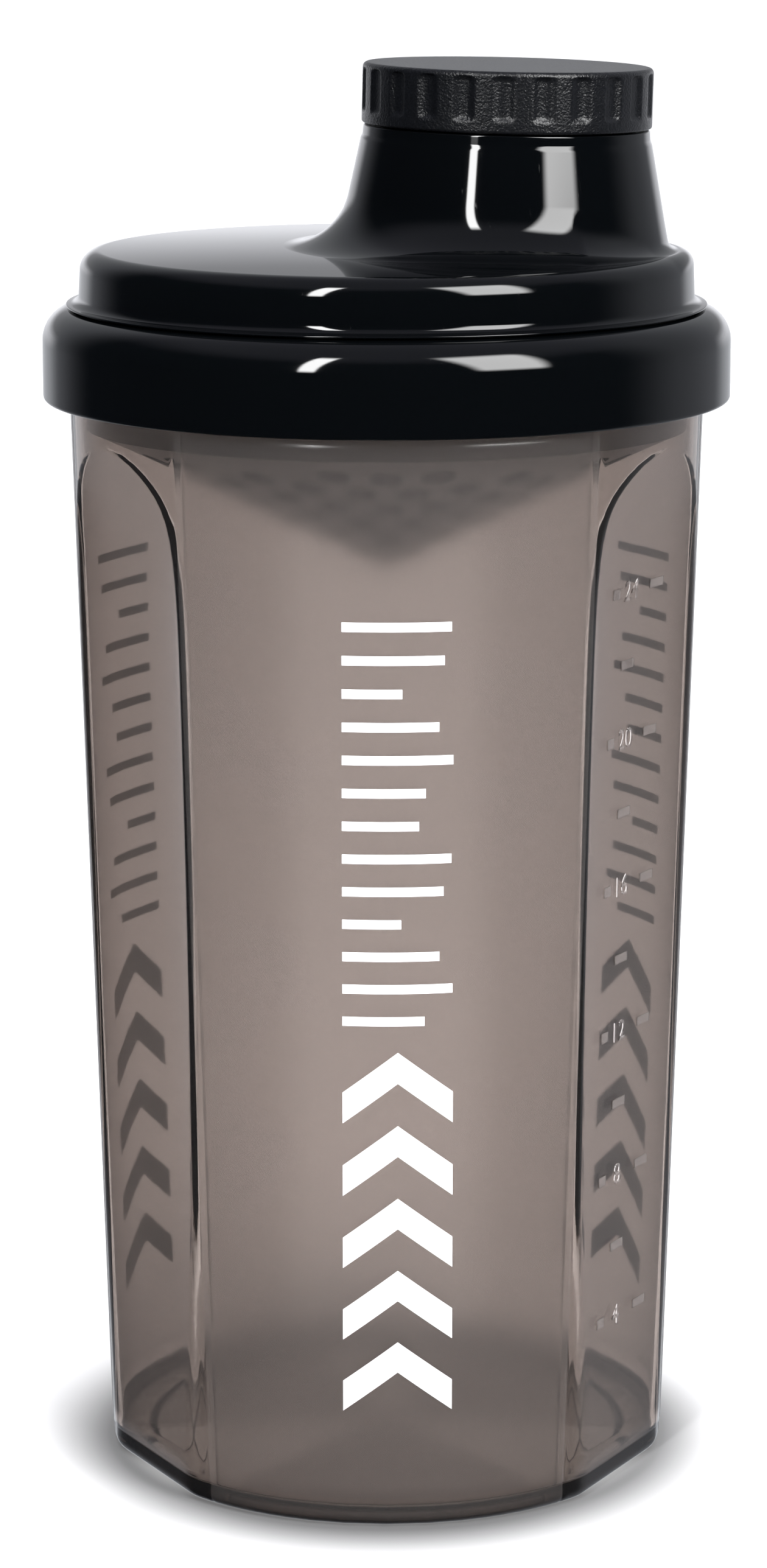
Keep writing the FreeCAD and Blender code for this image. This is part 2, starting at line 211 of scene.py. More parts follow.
def thread_ridge(azimuth, z, start, rise, pitch, height, foot, tip):
    """Height of a screw ridge: a trapezium across its helix, tapered to nothing at both ends."""
    turns = np.ceil(rise / pitch) + 1
    ridge = np.zeros(np.broadcast(azimuth, z).shape)
    for lap in np.arange(-1, turns):
        along = (azimuth % 360) / 360 * pitch + lap * pitch
        from_middle = np.abs(z - start - along)
        flank = np.clip((foot - from_middle) / (foot - tip), 0, 1)
        ends = np.clip(np.minimum(along, rise - along) / (pitch * 0.06), 0, 1)
        ridge = np.maximum(ridge, height * flank * ends)
    return ridge


def cup_rows():
    """The whole moulding as one closed skin, from the middle of its underside to its floor."""
    azimuth = cup_columns(np.array([RING_Z]), 0.0)
    outline = cup_radius(azimuth, RING_Z) - BAND_INSET
    rows = [round_about(outline * share, azimuth, UNDERSIDE_Z) for share in (0.06, 0.3, 0.55, 0.75)]
    for inset, z in ((8.0, UNDERSIDE_Z), (7.4, 0.75), (7.0, 0.4), (6.7, 0.05), (6.2, 0.0), (3.5, 0.0)):
        rows.append(round_about(outline - inset, azimuth, z))
    turn = np.radians(np.arange(0, 91, 10))
    for inset, z in zip(BASE_ROUNDING * (1 - np.sin(turn)), BASE_ROUNDING * (1 - np.cos(turn))):
        rows.append(round_about(outline - inset, azimuth, z))
    for z in (2.2, 3.0, RING_Z - 0.35, RING_Z - 0.16):
        rows.append(round_about(outline, azimuth, z))
    rows.append(round_about(outline + BAND_INSET * 0.3, azimuth, RING_Z - 0.06))
    rows.append(cup_wall(0.0, RING_Z + 0.08, BODY_TOP_Z))

    azimuth = cup_columns(np.array([BODY_TOP_Z]), 0.0)
    z = np.concatenate((BODY_TOP_Z + np.arange(0, 6.7, 0.2), LIP_Z - np.array([0.35, 0.15, 0.0])))
    soft = np.concatenate((np.zeros(len(z) - 3), [0.06, 0.2, 0.4]))
    ridge = thread_ridge(azimuth, z[:, None], 162.3, 4.5, LID_PITCH, 1.4, RIDGE_FOOT, RIDGE_TIP)
    rows.append(round_about(NECK_R + ridge - soft[:, None], azimuth, z[:, None]))
    z = LIP_Z - np.array([0.0, 0.15, 0.35, 1.5, 3.5, 5.5])
    soft = np.array([0.4, 0.2, 0.06, 0, 0, 0])
    rows.append(round_about(NECK_INNER_R + soft[:, None], azimuth, z[:, None]))

    wall_foot = FLOOR_Z + FLOOR_CORNER
    rows.append(cup_wall(WALL, wall_foot, BODY_TOP_Z)[::-1])
    azimuth = cup_columns(np.array([wall_foot]), WALL)
    outline = cup_radius(azimuth, np.array([wall_foot]), WALL)
    for turn in np.radians(np.arange(15, 91, 15)):
        rows.append(round_about(outline - FLOOR_CORNER * (1 - np.cos(turn)), azimuth,
                                wall_foot - FLOOR_CORNER * np.sin(turn)))
    rows += [round_about(outline * share, azimuth, FLOOR_Z) for share in (0.8, 0.5, 0.2, 0.04)]
    return np.vstack([row.reshape(-1, azimuth.shape[-1], 3) for row in rows])


def linear(code, alpha=1.0):
    """An sRGB hex colour as the linear values that a shader takes."""
    parts = np.array([int(code[i:i + 2], 16) for i in (1, 3, 5)]) / 255
    parts = np.where(parts <= 0.04045, parts / 12.92, ((parts + 0.055) / 1.055) ** 2.4)
    return (*parts.tolist(), alpha)


def put(tree, kind, inputs=None, **settings):
    """Adds one node: settings are its properties, inputs its sockets' values or links."""
    node = tree.nodes.new(kind)
    for name, value in settings.items():
        setattr(node, name, value)
    for name, value in (inputs or {}).items():
        if isinstance(value, bpy.types.NodeSocket):
            tree.links.new(value, node.inputs[name])
        else:
            node.inputs[name].default_value = value
    return node


def blank_material(name):
    """A material with only its output left, and its tree."""
    material = bpy.data.materials.new(name)
    material.use_nodes = True
    tree = material.node_tree
    tree.nodes.clear()
    return material, tree, put(tree, "ShaderNodeOutputMaterial")


def smoke_copolyester():
    """Smoke-tinted clear copolyester: polished flutes, and panels with a fine mould frost.

    The frost blurs what lies behind a panel more the further off it is. Most of the tint
    is taken up with depth, so that edges seen along the wall go dark: one 1.6 mm wall
    keeps 60 to 65 percent of the light, on top of a light tint at its faces. The small
    share that isn't transmitted gives the plastic its faint milky veil.
    """
    material, tree, output = blank_material("smoke_copolyester")
    frost = put(tree, "ShaderNodeAttribute", attribute_name="frost")
    place = put(tree, "ShaderNodeTexCoord")
    cloud = put(tree, "ShaderNodeTexNoise", {"Vector": place.outputs["Object"], "Scale": 25.0,
                                             "Detail": 1.0})
    panel = put(tree, "ShaderNodeMix", {"Factor": cloud.outputs["Fac"], "A": linear("#CDC6C3"),
                                        "B": linear("#D1CAC7")}, data_type="RGBA")
    tint = put(tree, "ShaderNodeMix", {"Factor": frost.outputs["Fac"], "A": linear("#E0DBD9"),
                                       "B": panel.outputs[2]}, data_type="RGBA")
    rough = put(tree, "ShaderNodeMapRange", {"Value": frost.outputs["Fac"], "To Min": 0.04,
                                             "To Max": 0.21})
    clear = put(tree, "ShaderNodeMapRange", {"Value": frost.outputs["Fac"], "To Min": 0.99,
                                             "To Max": 0.95})
    shader = put(tree, "ShaderNodeBsdfPrincipled", {
        "Base Color": tint.outputs[2],
        "Roughness": rough.outputs["Result"],
        "IOR": 1.5,
        "Transmission Weight": clear.outputs["Result"],
    })
    depth = put(tree, "ShaderNodeVolumeAbsorption", {"Color": (0.327, 0.250, 0.195, 1.0),
                                                     "Density": 400.0})
    tree.links.new(shader.outputs["BSDF"], output.inputs["Surface"])
    tree.links.new(depth.outputs["Volume"], output.inputs["Volume"])
    return material


grid = cup_rows()
cup = skin_of("cup_moulding", grid)
lane = np.tile(np.concatenate((np.zeros(len(flute_share)), np.ones(len(panel_share)))), 3)
frost = cup.data.attributes.new("frost", "FLOAT", "POINT")
frost.data.foreach_set("value", np.append(np.tile(lane, len(grid)), (0.0, 0.0)).astype(np.float32))
cup.data.materials.append(smoke_copolyester())
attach(cup, "cup")
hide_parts("cup")

# ---------------------------------------------------------------- scale
# Raised measuring marks, moulded in the wall of the right-hand flute: six polished
# numbers, each between two matt dashes, and one dash midway between two levels.

RELIEF = 0.14               # how far the marks stand off the flute
MARK_GAP = 0.01             # keeps their undersides clear of the wall
DIGIT_HEIGHT = 3.2
DIGITS_ACROSS = -2.3        # from the middle line of the flute
LEVELS = 6
LEVEL_STEP = 21.9
LOWEST_LEVEL_Z = 26.0
OUNCES = 4                  # from one level to the next


def flat_text(words, height):
    """Triangles of a number in the built-in typeface: flat points and faces, from x = 0."""
    text = bpy.data.curves.new("digits", "FONT")
    text.body = words
    text.size = height / 0.73
    text.resolution_u = 3
    writer = bpy.data.objects.new("digits", text)
    bpy.context.scene.collection.objects.link(writer)
    bpy.context.view_layer.update()
    mesh = bpy.data.meshes.new_from_object(writer.evaluated_get(bpy.context.evaluated_depsgraph_get()))
    points = np.empty(len(mesh.vertices) * 3)
    mesh.vertices.foreach_get("co", points)
    faces = [tuple(face.vertices) for face in mesh.polygons]
    bpy.data.objects.remove(writer)
    bpy.data.meshes.remove(mesh)
    bpy.data.curves.remove(text)
    points = points.reshape(-1, 3)[:, :2]
    return points - (points.min(axis=0) + points.max(axis=0)) / 2, faces


def block(width, height):
    """A flat bar round the origin, in square cells, as points and faces."""
    across = np.linspace(-width / 2, width / 2, 5)
    up = np.array([-height / 2, height / 2])
    points = np.stack(np.meshgrid(across, up, indexing="ij"), axis=-1).reshape(-1, 2)
    return points, [(2 * i, 2 * i + 2, 2 * i + 3, 2 * i + 1) for i in range(4)]


def raised(name, shapes, surface, low, high):
    """One mesh of closed slabs: each flat shape at height low, again at high, and its rim."""
    points, faces, count = [], [], 0
    for flat, cells in shapes:
        n = len(flat)
        points += [surface(flat[:, 0], flat[:, 1], low), surface(flat[:, 0], flat[:, 1], high)]
        sides = {(a, b) for cell in cells for a, b in zip(cell, cell[1:] + cell[:1])}
        for cell in cells:
            faces += [tuple(count + n + i for i in cell), tuple(count + i for i in cell[::-1])]
        faces += [(count + a, count + b, count + n + b, count + n + a)
                  for a, b in sorted(sides) if (b, a) not in sides]
        count += 2 * n
    mesh = bpy.data.meshes.new(name)
    mesh.from_pydata((np.vstack(points) / 1000).tolist(), [], faces)
    piece = bpy.data.objects.new(name, mesh)
    bpy.context.scene.collection.objects.link(piece)
    return piece


def on_flute(across, up, height):
    """Surface of the right-hand flute: across runs square to its middle, height stands off it."""
    azimuth = FLUTE_AZIMUTHS[0] + np.degrees(across / 40.0)
    return round_about(cup_radius(azimuth, up) + height, azimuth, up)


def scale_marks():
    """Flat shapes of the numbers and of the dashes, across and up in millimetres."""
    numbers, dashes = [], []
    for step in range(LEVELS):
        z = LOWEST_LEVEL_Z + LEVEL_STEP * step
        flat, cells = flat_text(str(OUNCES * (step + 1)), DIGIT_HEIGHT)
        numbers.append((flat + (DIGITS_ACROSS, z), cells))
        bars = [(2.0, 1.5, -7.0, z), (3.6, 1.3, 5.0, z)]
        if step < LEVELS - 1:
            bars.append((3.8, 1.3, DIGITS_ACROSS, z + LEVEL_STEP / 2))
        for width, height, across, up in bars:
            flat, cells = block(width, height)
            dashes.append((flat + (across, up), cells))
    return numbers, dashes


numbers, dashes = scale_marks()
for name, shapes, haze in (("scale_numbers", numbers, 0.0), ("scale_dashes", dashes, 1.0)):
    mark = raised(name, shapes, on_flute, MARK_GAP, RELIEF)
    hazy = mark.data.attributes.new("frost", "FLOAT", "POINT")
    hazy.data.foreach_set("value", np.full(len(mark.data.vertices), haze, np.float32))
    mark.data.materials.append(cup.data.materials[0])
    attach(mark, "cup")

# ---------------------------------------------------------------- artwork
# White screen-printed ink, the same on each of the three panels. The marks are plain:
# five bold chevrons with thin rules above them.

INK = 0.05                  # thickness of the ink
INK_GAP = 0.02              # keeps its underside clear of the wall
ART_LEFT, ART_RIGHT, PEAK = -6.3, 9.5, 1.6      # from the middle line of the panel
CHEVRONS = 5
CHEVRON_Z, CHEVRON_STEP = 20.5, 10.9
CHEVRON_RISE, CHEVRON_WIDTH = 6.0, 4.6
RULES = 13
RULE_Z, RULE_STEP, RULE_WIDTH = 77.0, 4.75, 1.35


def slab(name, outlines, surface, thickness):
    """One mesh of thin closed slabs bent on to a surface.

    An outline is a grid of flat points, n by 2 pairs across and up; surface turns flat
    points and a height above it into x, y, z.
    """
    points, faces, count = [], [], 0
    for flat in outlines:
        n = len(flat)
        under = surface(flat[..., 0], flat[..., 1], INK_GAP)
        over = surface(flat[..., 0], flat[..., 1], INK_GAP + thickness)
        points.append(np.concatenate((under.reshape(-1, 3), over.reshape(-1, 3))))
        index = count + np.arange(n * 2).reshape(n, 2)
        lift = n * 2
        for i in range(n - 1):
            a, b = index[i]
            d, c = index[i + 1]
            faces += [(a + lift, b + lift, c + lift, d + lift), (a, d, c, b),
                      (b, c, c + lift, b + lift), (d, a, a + lift, d + lift)]
        for i, way in ((0, 1), (n - 1, -1)):
            a, b = index[i]
            faces.append((a, b, b + lift, a + lift)[::way])
        count += n * 4
    mesh = bpy.data.meshes.new(name)
    mesh.from_pydata((np.vstack(points) / 1000).tolist(), [], faces)
    piece = bpy.data.objects.new(name, mesh)
    bpy.context.scene.collection.objects.link(piece)
    return piece


def strip(start, end, width, pieces=12):
    """A straight bar from start to end, cut square to the height axis, as a flat grid."""
    along = np.linspace(start, end, pieces + 1)
    half = np.array([0, width / 2])
    return np.stack((along + half, along - half), axis=1)


def artwork():
    """Flat outlines of the marks, across and up in millimetres from the panel's middle line.

    The rules' lengths follow a sine, from half the width of the artwork to all of it.
    """
    marks = []
    for z in np.arange(CHEVRONS) * CHEVRON_STEP + CHEVRON_Z:
        top = (PEAK, z + CHEVRON_RISE)
        marks.append(strip((ART_LEFT, z), top, CHEVRON_WIDTH))
        marks.append(strip(top, (ART_RIGHT, z), CHEVRON_WIDTH))
    for number, z in enumerate(np.arange(RULES) * RULE_STEP + RULE_Z):
        reach = 0.5 + 0.5 * abs(np.sin(number * 0.9 + 0.5))
        marks.append(strip((ART_LEFT, z), (ART_LEFT + (ART_RIGHT - ART_LEFT) * reach, z), RULE_WIDTH))
    return marks


def screen_ink():
    """Screen-printed ink: bright white, slightly chalky, with the print's fine grain."""
    material, tree, output = blank_material("screen_ink")
    place = put(tree, "ShaderNodeTexCoord")
    grain = put(tree, "ShaderNodeTexNoise", {"Vector": place.outputs["Object"], "Scale": 2500.0})
    shade = put(tree, "ShaderNodeMapRange", {"Value": grain.outputs["Fac"], "To Min": 0.0,
                                             "To Max": 1.0})
    colour = put(tree, "ShaderNodeMix", {"Factor": shade.outputs["Result"],
                                         "A": linear("#F4F5F8"), "B": linear("#FCFCFF")},
                 data_type="RGBA")
    bump = put(tree, "ShaderNodeBump", {"Height": grain.outputs["Fac"], "Strength": 0.1,
                                        "Distance": 0.00002})
    shader = put(tree, "ShaderNodeBsdfPrincipled", {
        "Base Color": colour.outputs[2],
        "Roughness": 0.6,
        "Normal": bump.outputs["Normal"],
    })
    tree.links.new(shader.outputs["BSDF"], output.inputs["Surface"])
    return material


ink = screen_ink()
for side, azimuth in (("front", -90.0), ("right", 30.0), ("left", 150.0)):
    def on_panel(across, up, height, middle=azimuth):
        """Panel surface: across is measured round its radius, height stands off it."""
        radius = panel_radius(up)
        return round_about(radius + height, middle + np.degrees(across / radius), up)
    print_piece = slab("artwork_" + side, artwork(), on_panel, INK)
    print_piece.data.materials.append(ink)
    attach(print_piece, "cup")

# ---------------------------------------------------------------- lid
# The lid is one moulding in high-gloss black polypropylene: a collar that screws over
# the neck, a rounded shoulder, a raised tier with a barely crowned deck, and a leaning
# spout. A deep fillet runs from the spout into the deck where there is room.

SPOUT_X = 17.06
DECK_Z = 181.5
DECK_RISE = 0.7             # the deck's edge stands this much over the spout's datum
CROWN = 0.7                 # and its middle this much over its edge
CROWN_R = 42.2
CEILING_Z = 179.3           # underside of the deck
TIER_R = 44.93
TIER_EDGE = 2.9             # rounding at the deck's edge, less where the spout is close
TIER_FOOT_Z = 176.0         # the tier's side is stretched from here up to meet its edge
COLLAR_INNER_R = 48.2
LID_THREAD_TURN = 166.0     # degrees: puts each ridge midway in the other's groove
CAP_PITCH = 3.0
SMALL_FOOT, SMALL_TIP = 0.75, 0.35      # half widths of the small thread's ridge
SPOUT_LEAN = 1.3
CONE_ANGLE = np.radians(11.2)
CONE_FOOT_R = 24.5
COLUMNS = 240


def rounded(corners, step=2.0, fine=6.0):
    """Points along a line through corners (across, up, radius), each turned by an arc.

    The arcs are cut every few degrees and the straights into steps, crowded at both
    ends so that the shading turns only in the arcs.
    """
    corners = [(np.array(c[:2], float), c[2] if len(c) > 2 else 0.0) for c in corners]
    line = []
    for i, (here, radius) in enumerate(corners):
        if radius == 0 or i in (0, len(corners) - 1):
            line.append(np.array([here]))
            continue
        back = corners[i - 1][0] - here
        on = corners[i + 1][0] - here
        back, on = back / np.linalg.norm(back), on / np.linalg.norm(on)
        half = np.arccos(np.clip(back @ on, -1, 1)) / 2
        middle = here + (back + on) / np.linalg.norm(back + on) * radius / np.sin(half)
        start = here + back * radius / np.tan(half) - middle
        sweep = np.pi - 2 * half
        if back[0] * on[1] - back[1] * on[0] > 0:
            sweep = -sweep
        t = np.linspace(0, sweep, max(3, int(np.ceil(abs(np.degrees(sweep)) / fine)) + 1))[:, None]
        line.append(middle + start * np.cos(t) + np.array([-start[1], start[0]]) * np.sin(t))
    points = [line[0]]
    for before, after in zip(line[:-1], line[1:]):
        gap = after[0] - before[-1]
        span = np.linalg.norm(gap)
        if span > 0.3:
            edge = min(0.12, span / 4)
            share = np.linspace(edge, span - edge, max(2, int(span / step) + 2)) / span
            points.append(before[-1] + share[:, None] * gap)
        points.append(after)
    return np.vstack(points)


around_spout = np.arange(COLUMNS) * 360 / COLUMNS
ray = np.stack((np.cos(np.radians(around_spout)), np.sin(np.radians(around_spout))))


def reach_to(radius):
    """Distance from the spout's axis, along each column's ray, to a circle about the lid's axis."""
    return -SPOUT_X * ray[0] + np.sqrt(radius ** 2 - (SPOUT_X * ray[1]) ** 2)


def from_spout(distance, z):
    """Points at a distance from the spout's axis along each column's ray."""
    distance, z, _ = np.broadcast_arrays(distance, z, ray[0])
    return np.stack((SPOUT_X + distance * ray[0], distance * ray[1], z), axis=-1)


def leaning(points, ease=8.0):
    """Tips points about the spout's foot, more and more over the first few millimetres up."""
    up = points[..., 2] - DECK_Z
    share = np.clip(up / ease, 0, 1)
    angle = np.radians(SPOUT_LEAN) * share ** 2 * (3 - 2 * share)
    x = points[..., 0] - SPOUT_X
    tipped = points.copy()
    tipped[..., 0] = SPOUT_X + x * np.cos(angle) + up * np.sin(angle)
    tipped[..., 2] = DECK_Z + up * np.cos(angle) - x * np.sin(angle)
    return tipped


def crowned(points):
    """Raises the deck towards its middle, as a parabola, and the foot of the fillet with it."""
    radius = np.hypot(points[..., 0], points[..., 1])
    share = np.clip(1 - (points[..., 2] - DECK_Z) / 6, 0, 1)
    lifted = points.copy()
    lifted[..., 2] += CROWN * np.clip(1 - (radius / CROWN_R) ** 2, 0, None) * share
    return lifted


def lid_rows():
    """The whole lid as rings: out over it from the mouth, round the collar and back inside."""
    wall_reach = reach_to(TIER_R)
    azimuth = np.degrees(np.arctan2(wall_reach * ray[1], SPOUT_X + wall_reach * ray[0]))
    foot_r = CONE_FOOT_R - np.tan(CONE_ANGLE) * DECK_RISE
    room = wall_reach - foot_r
    edge = np.minimum(TIER_EDGE, 0.56 * room)
    tangent = 1 / np.tan((np.pi / 2 + CONE_ANGLE) / 2)
    fillet = np.minimum(9.5, (room - edge - 0.15) / tangent)
    fillet_reach = foot_r + fillet * tangent
    deck = DECK_Z + DECK_RISE

    rows = []
    neck = rounded(((15.6, 20.0), (15.6, 24.7, 0.5), (17.6, 24.7, 0.7), (17.6, 18.5, 0.2),
                    (20.86, 18.5, 0.3), (21.0, 17.0)), 0.3)
    for radius, up in neck:
        ridge = 0.0
        if radius > 17.0 and 19.0 < up < 24.4:
            ridge = thread_ridge(around_spout, up, 20.4, 2.75, CAP_PITCH, 0.95, SMALL_FOOT, SMALL_TIP)
        rows.append(from_spout(radius + ridge, DECK_Z + up))
    top_r, top_up = neck[-1]
    foot_up = DECK_RISE + fillet * (1 - np.sin(CONE_ANGLE))
    for share in np.linspace(0, 1, 24)[1:]:
        up = top_up + (foot_up - top_up) * share
        rows.append(from_spout(CONE_FOOT_R - np.tan(CONE_ANGLE) * up, DECK_Z + up))
    for turn in np.linspace(np.pi + CONE_ANGLE, 1.5 * np.pi, 18)[1:]:
        rows.append(crowned(from_spout(fillet_reach + fillet * np.cos(turn),
                                       deck + fillet * (1 + np.sin(turn)))))
    flat = wall_reach - edge - fillet_reach
    for share in (np.append(spread(1.0, 0.02, 1.5)[1:-1] / 2, 1 - spread(1.0, 0.02, 1.5)[::-1] / 2)):
        rows.append(crowned(from_spout(fillet_reach + flat * share, deck)))
    for turn in np.radians(np.arange(84, -1, -6)):
        rows.append(from_spout(wall_reach - edge * (1 - np.cos(turn)),
                               deck - edge * (1 - np.sin(turn))))

    outside = rounded(((TIER_R, 178.6), (45.2, 174.62, 1.3), (47.0, 174.5, 0.12), (47.0, 174.28, 0.06),
                       (45.5, 174.1, 0.04), (50.5, 174.1, 4.9),
                       (50.5, 160.6, 0.6), (COLLAR_INNER_R, 160.6, 0.35), (COLLAR_INNER_R, 171.5, 2.9),
                       (42.75, 171.5, 0.2), (42.7, 167.6, 0.3), (41.6, 167.6, 0.3),
                       (41.6, 172.8, 0.3), (43.2, 174.2, 0.3), (43.2, CEILING_Z, 0.6),
                       (41.0, CEILING_Z)), 0.35, 5.0)
    top = deck - edge
    for radius, z in outside[1:]:
        height = np.full(COLUMNS, z)
        ridge = 0.0
        if z > TIER_FOOT_Z and radius > 44.5:
            height = TIER_FOOT_Z + (z - TIER_FOOT_Z) * (top - TIER_FOOT_Z) / (178.6 - TIER_FOOT_Z)
        if abs(radius - COLLAR_INNER_R) < 0.01:
            ridge = -thread_ridge(azimuth - LID_THREAD_TURN, z, 162.1, 5.0, LID_PITCH, 1.3,
                                  RIDGE_FOOT, RIDGE_TIP)
        rows.append(round_about(radius + ridge, azimuth, height))

    under = round_about(41.0, azimuth, CEILING_Z)
    cone_foot = from_spout(22.3, CEILING_Z)
    for share in (0.33, 0.66, 0.95, 1.0):
        rows.append(under + (cone_foot - under) * share)
    for radius, up in rounded(((22.3, -1.6), (22.2, 0.0, 2.0), (18.9, 15.4, 1.0),
                               (15.6, 16.9, 1.0), (15.6, 19.0)), 2.0):
        rows.append(from_spout(radius, DECK_Z + up))
    return leaning(np.stack(rows))


def gloss_polypropylene():
    """High-gloss black polypropylene: a mirror-smooth mould finish with hairline scuffs."""
    material, tree, output = blank_material("gloss_polypropylene")
    place = put(tree, "ShaderNodeTexCoord")
    slant = put(tree, "ShaderNodeMapping", {"Vector": place.outputs["Object"],
                                            "Rotation": (0.4, 0.7, 0.5), "Scale": (1.0, 1.0, 0.06)})
    hair = put(tree, "ShaderNodeTexNoise", {"Vector": slant.outputs["Vector"], "Scale": 2600.0,
                                            "Detail": 2.0})
    scuff = put(tree, "ShaderNodeMapRange", {"Value": hair.outputs["Fac"], "From Min": 0.66,
                                             "From Max": 0.80, "To Min": 0.045, "To Max": 0.16})
    shader = put(tree, "ShaderNodeBsdfPrincipled", {
        "Base Color": linear("#030405"),
        "Roughness": scuff.outputs["Result"],
        "IOR": 1.49,
    })
    tree.links.new(shader.outputs["BSDF"], output.inputs["Surface"])
    return material


lid = skin_of("lid_moulding", lid_rows(), closed_rows=True)
lid.data.materials.append(gloss_polypropylene())
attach(lid, "lid")
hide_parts("lid")

# ---------------------------------------------------------------- spout cap
# The cap is a separate moulding in matt black polypropylene with a fine spark-eroded
# grain. Twenty-three scooped grips stop short of its foot, and it screws on the mouth.

CAP_R = 21.15
CAP_INNER_R = 19.0
CAP_TOP, CAP_CEILING, CAP_FOOT = 27.4, 26.2, 18.68      # heights above the deck's datum
CAP_THREAD_TURN = 120.0
GRIPS = 23
FRONT_GRIP = -92.9          # azimuth in degrees of the grip nearest the front
GRIP_HALF = 1.55            # half the width of a grip
GRIP_DEPTH = 0.5
GRIP_FOOT = 20.4            # height where a grip starts to sink in
GRIP_TOP = 26.75            # where its middle line ends; its sides end a little lower


def cap_rows():
    """The cap from the middle of its top, down the gripped side and back up inside."""
    per_grip = 18
    azimuth = FRONT_GRIP + np.arange(GRIPS * per_grip) * 360 / (GRIPS * per_grip)
    pitch = 360 / GRIPS
    across = ((azimuth - FRONT_GRIP + pitch / 2) % pitch - pitch / 2) / 360 * 2 * np.pi * CAP_R
    scoop = GRIP_DEPTH * np.clip(1 - np.abs(across / GRIP_HALF) ** 2.6, 0, None)
    profile = rounded(((0.6, CAP_TOP), (CAP_R, CAP_TOP, 0.75), (CAP_R, CAP_FOOT, 0.4),
                       (CAP_INNER_R, CAP_FOOT, 0.25), (CAP_INNER_R, CAP_CEILING, 0.4),
                       (0.6, CAP_CEILING)), 0.3, 7.5)
    rows = []
    for radius, up in profile:
        offset = 0.0
        if radius > 20.0:
            top_end = GRIP_TOP - 0.45 * np.abs(across / GRIP_HALF) ** 3
            share = np.clip((up - GRIP_FOOT) / 0.7, 0, 1) * np.clip((top_end - up) / 0.4, 0, 1)
            offset = -scoop * share * (2 - share)
        if abs(radius - CAP_INNER_R) < 0.01:
            offset = -thread_ridge(azimuth - CAP_THREAD_TURN, up, 19.9, 2.75, CAP_PITCH, 0.95,
                                   SMALL_FOOT, SMALL_TIP)
        rows.append(round_about(radius + offset, azimuth, up))
    grid = np.stack(rows)
    grid[..., 0] += SPOUT_X
    grid[..., 2] += DECK_Z
    return leaning(grid)


def matt_polypropylene():
    """Matt black polypropylene: a fine spark-eroded grain, about 0.3 mm, that scatters light.

    The real grain is finer than this; it is drawn coarse enough to show.
    """
    material, tree, output = blank_material("matt_polypropylene")
    place = put(tree, "ShaderNodeTexCoord")
    grain = put(tree, "ShaderNodeTexNoise", {"Vector": place.outputs["Object"], "Scale": 3000.0,
                                             "Detail": 2.0})
    bump = put(tree, "ShaderNodeBump", {"Height": grain.outputs["Fac"], "Strength": 1.0,
                                        "Distance": 0.0001})
    shade = put(tree, "ShaderNodeMix", {"Factor": grain.outputs["Fac"], "A": linear("#030405"),
                                        "B": linear("#111216")}, data_type="RGBA")
    shader = put(tree, "ShaderNodeBsdfPrincipled", {
        "Base Color": shade.outputs[2],
        "Roughness": 0.30,
        "Normal": bump.outputs["Normal"],
    })
    tree.links.new(shader.outputs["BSDF"], output.inputs["Surface"])
    return material


cap = skin_of("cap_moulding", cap_rows())
cap.data.materials.append(matt_polypropylene())
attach(cap, "cap")
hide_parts("spout_cap")

# ---------------------------------------------------------------- strainer and seals
# The strainer is a pierced cone in satin black polypropylene that hangs in the neck.
# The gasket under the lid and the disc in the cap are soft grey-black silicone.


def satin_polypropylene():
    """Satin black polypropylene: an unpolished mould finish with faint flow clouds."""
    material, tree, output = blank_material("satin_polypropylene")
    place = put(tree, "ShaderNodeTexCoord")
    cloud = put(tree, "ShaderNodeTexNoise", {"Vector": place.outputs["Object"], "Scale": 120.0})
    rough = put(tree, "ShaderNodeMapRange", {"Value": cloud.outputs["Fac"], "To Min": 0.28,
                                             "To Max": 0.42})
    shader = put(tree, "ShaderNodeBsdfPrincipled", {
        "Base Color": linear("#0B0B0D"),
        "Roughness": rough.outputs["Result"],
    })
    tree.links.new(shader.outputs["BSDF"], output.inputs["Surface"])
    return material


def silicone():
    """Moulded silicone: soft, dull and slightly dusty."""
    material, tree, output = blank_material("silicone")
    place = put(tree, "ShaderNodeTexCoord")
    dust = put(tree, "ShaderNodeTexNoise", {"Vector": place.outputs["Object"], "Scale": 900.0})
    shade = put(tree, "ShaderNodeMix", {"Factor": dust.outputs["Fac"], "A": linear("#232425"),
                                        "B": linear("#333435")}, data_type="RGBA")
    shader = put(tree, "ShaderNodeBsdfPrincipled", {
        "Base Color": shade.outputs[2],
        "Roughness": 0.7,
    })
    tree.links.new(shader.outputs["BSDF"], output.inputs["Surface"])
    return material


seal = silicone()
for node, finish in (("strainer", satin_polypropylene()), ("lid_gasket", seal), ("cap_liner", seal)):
    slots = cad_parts[node].data.materials
    slots.clear()
    slots.append(finish)
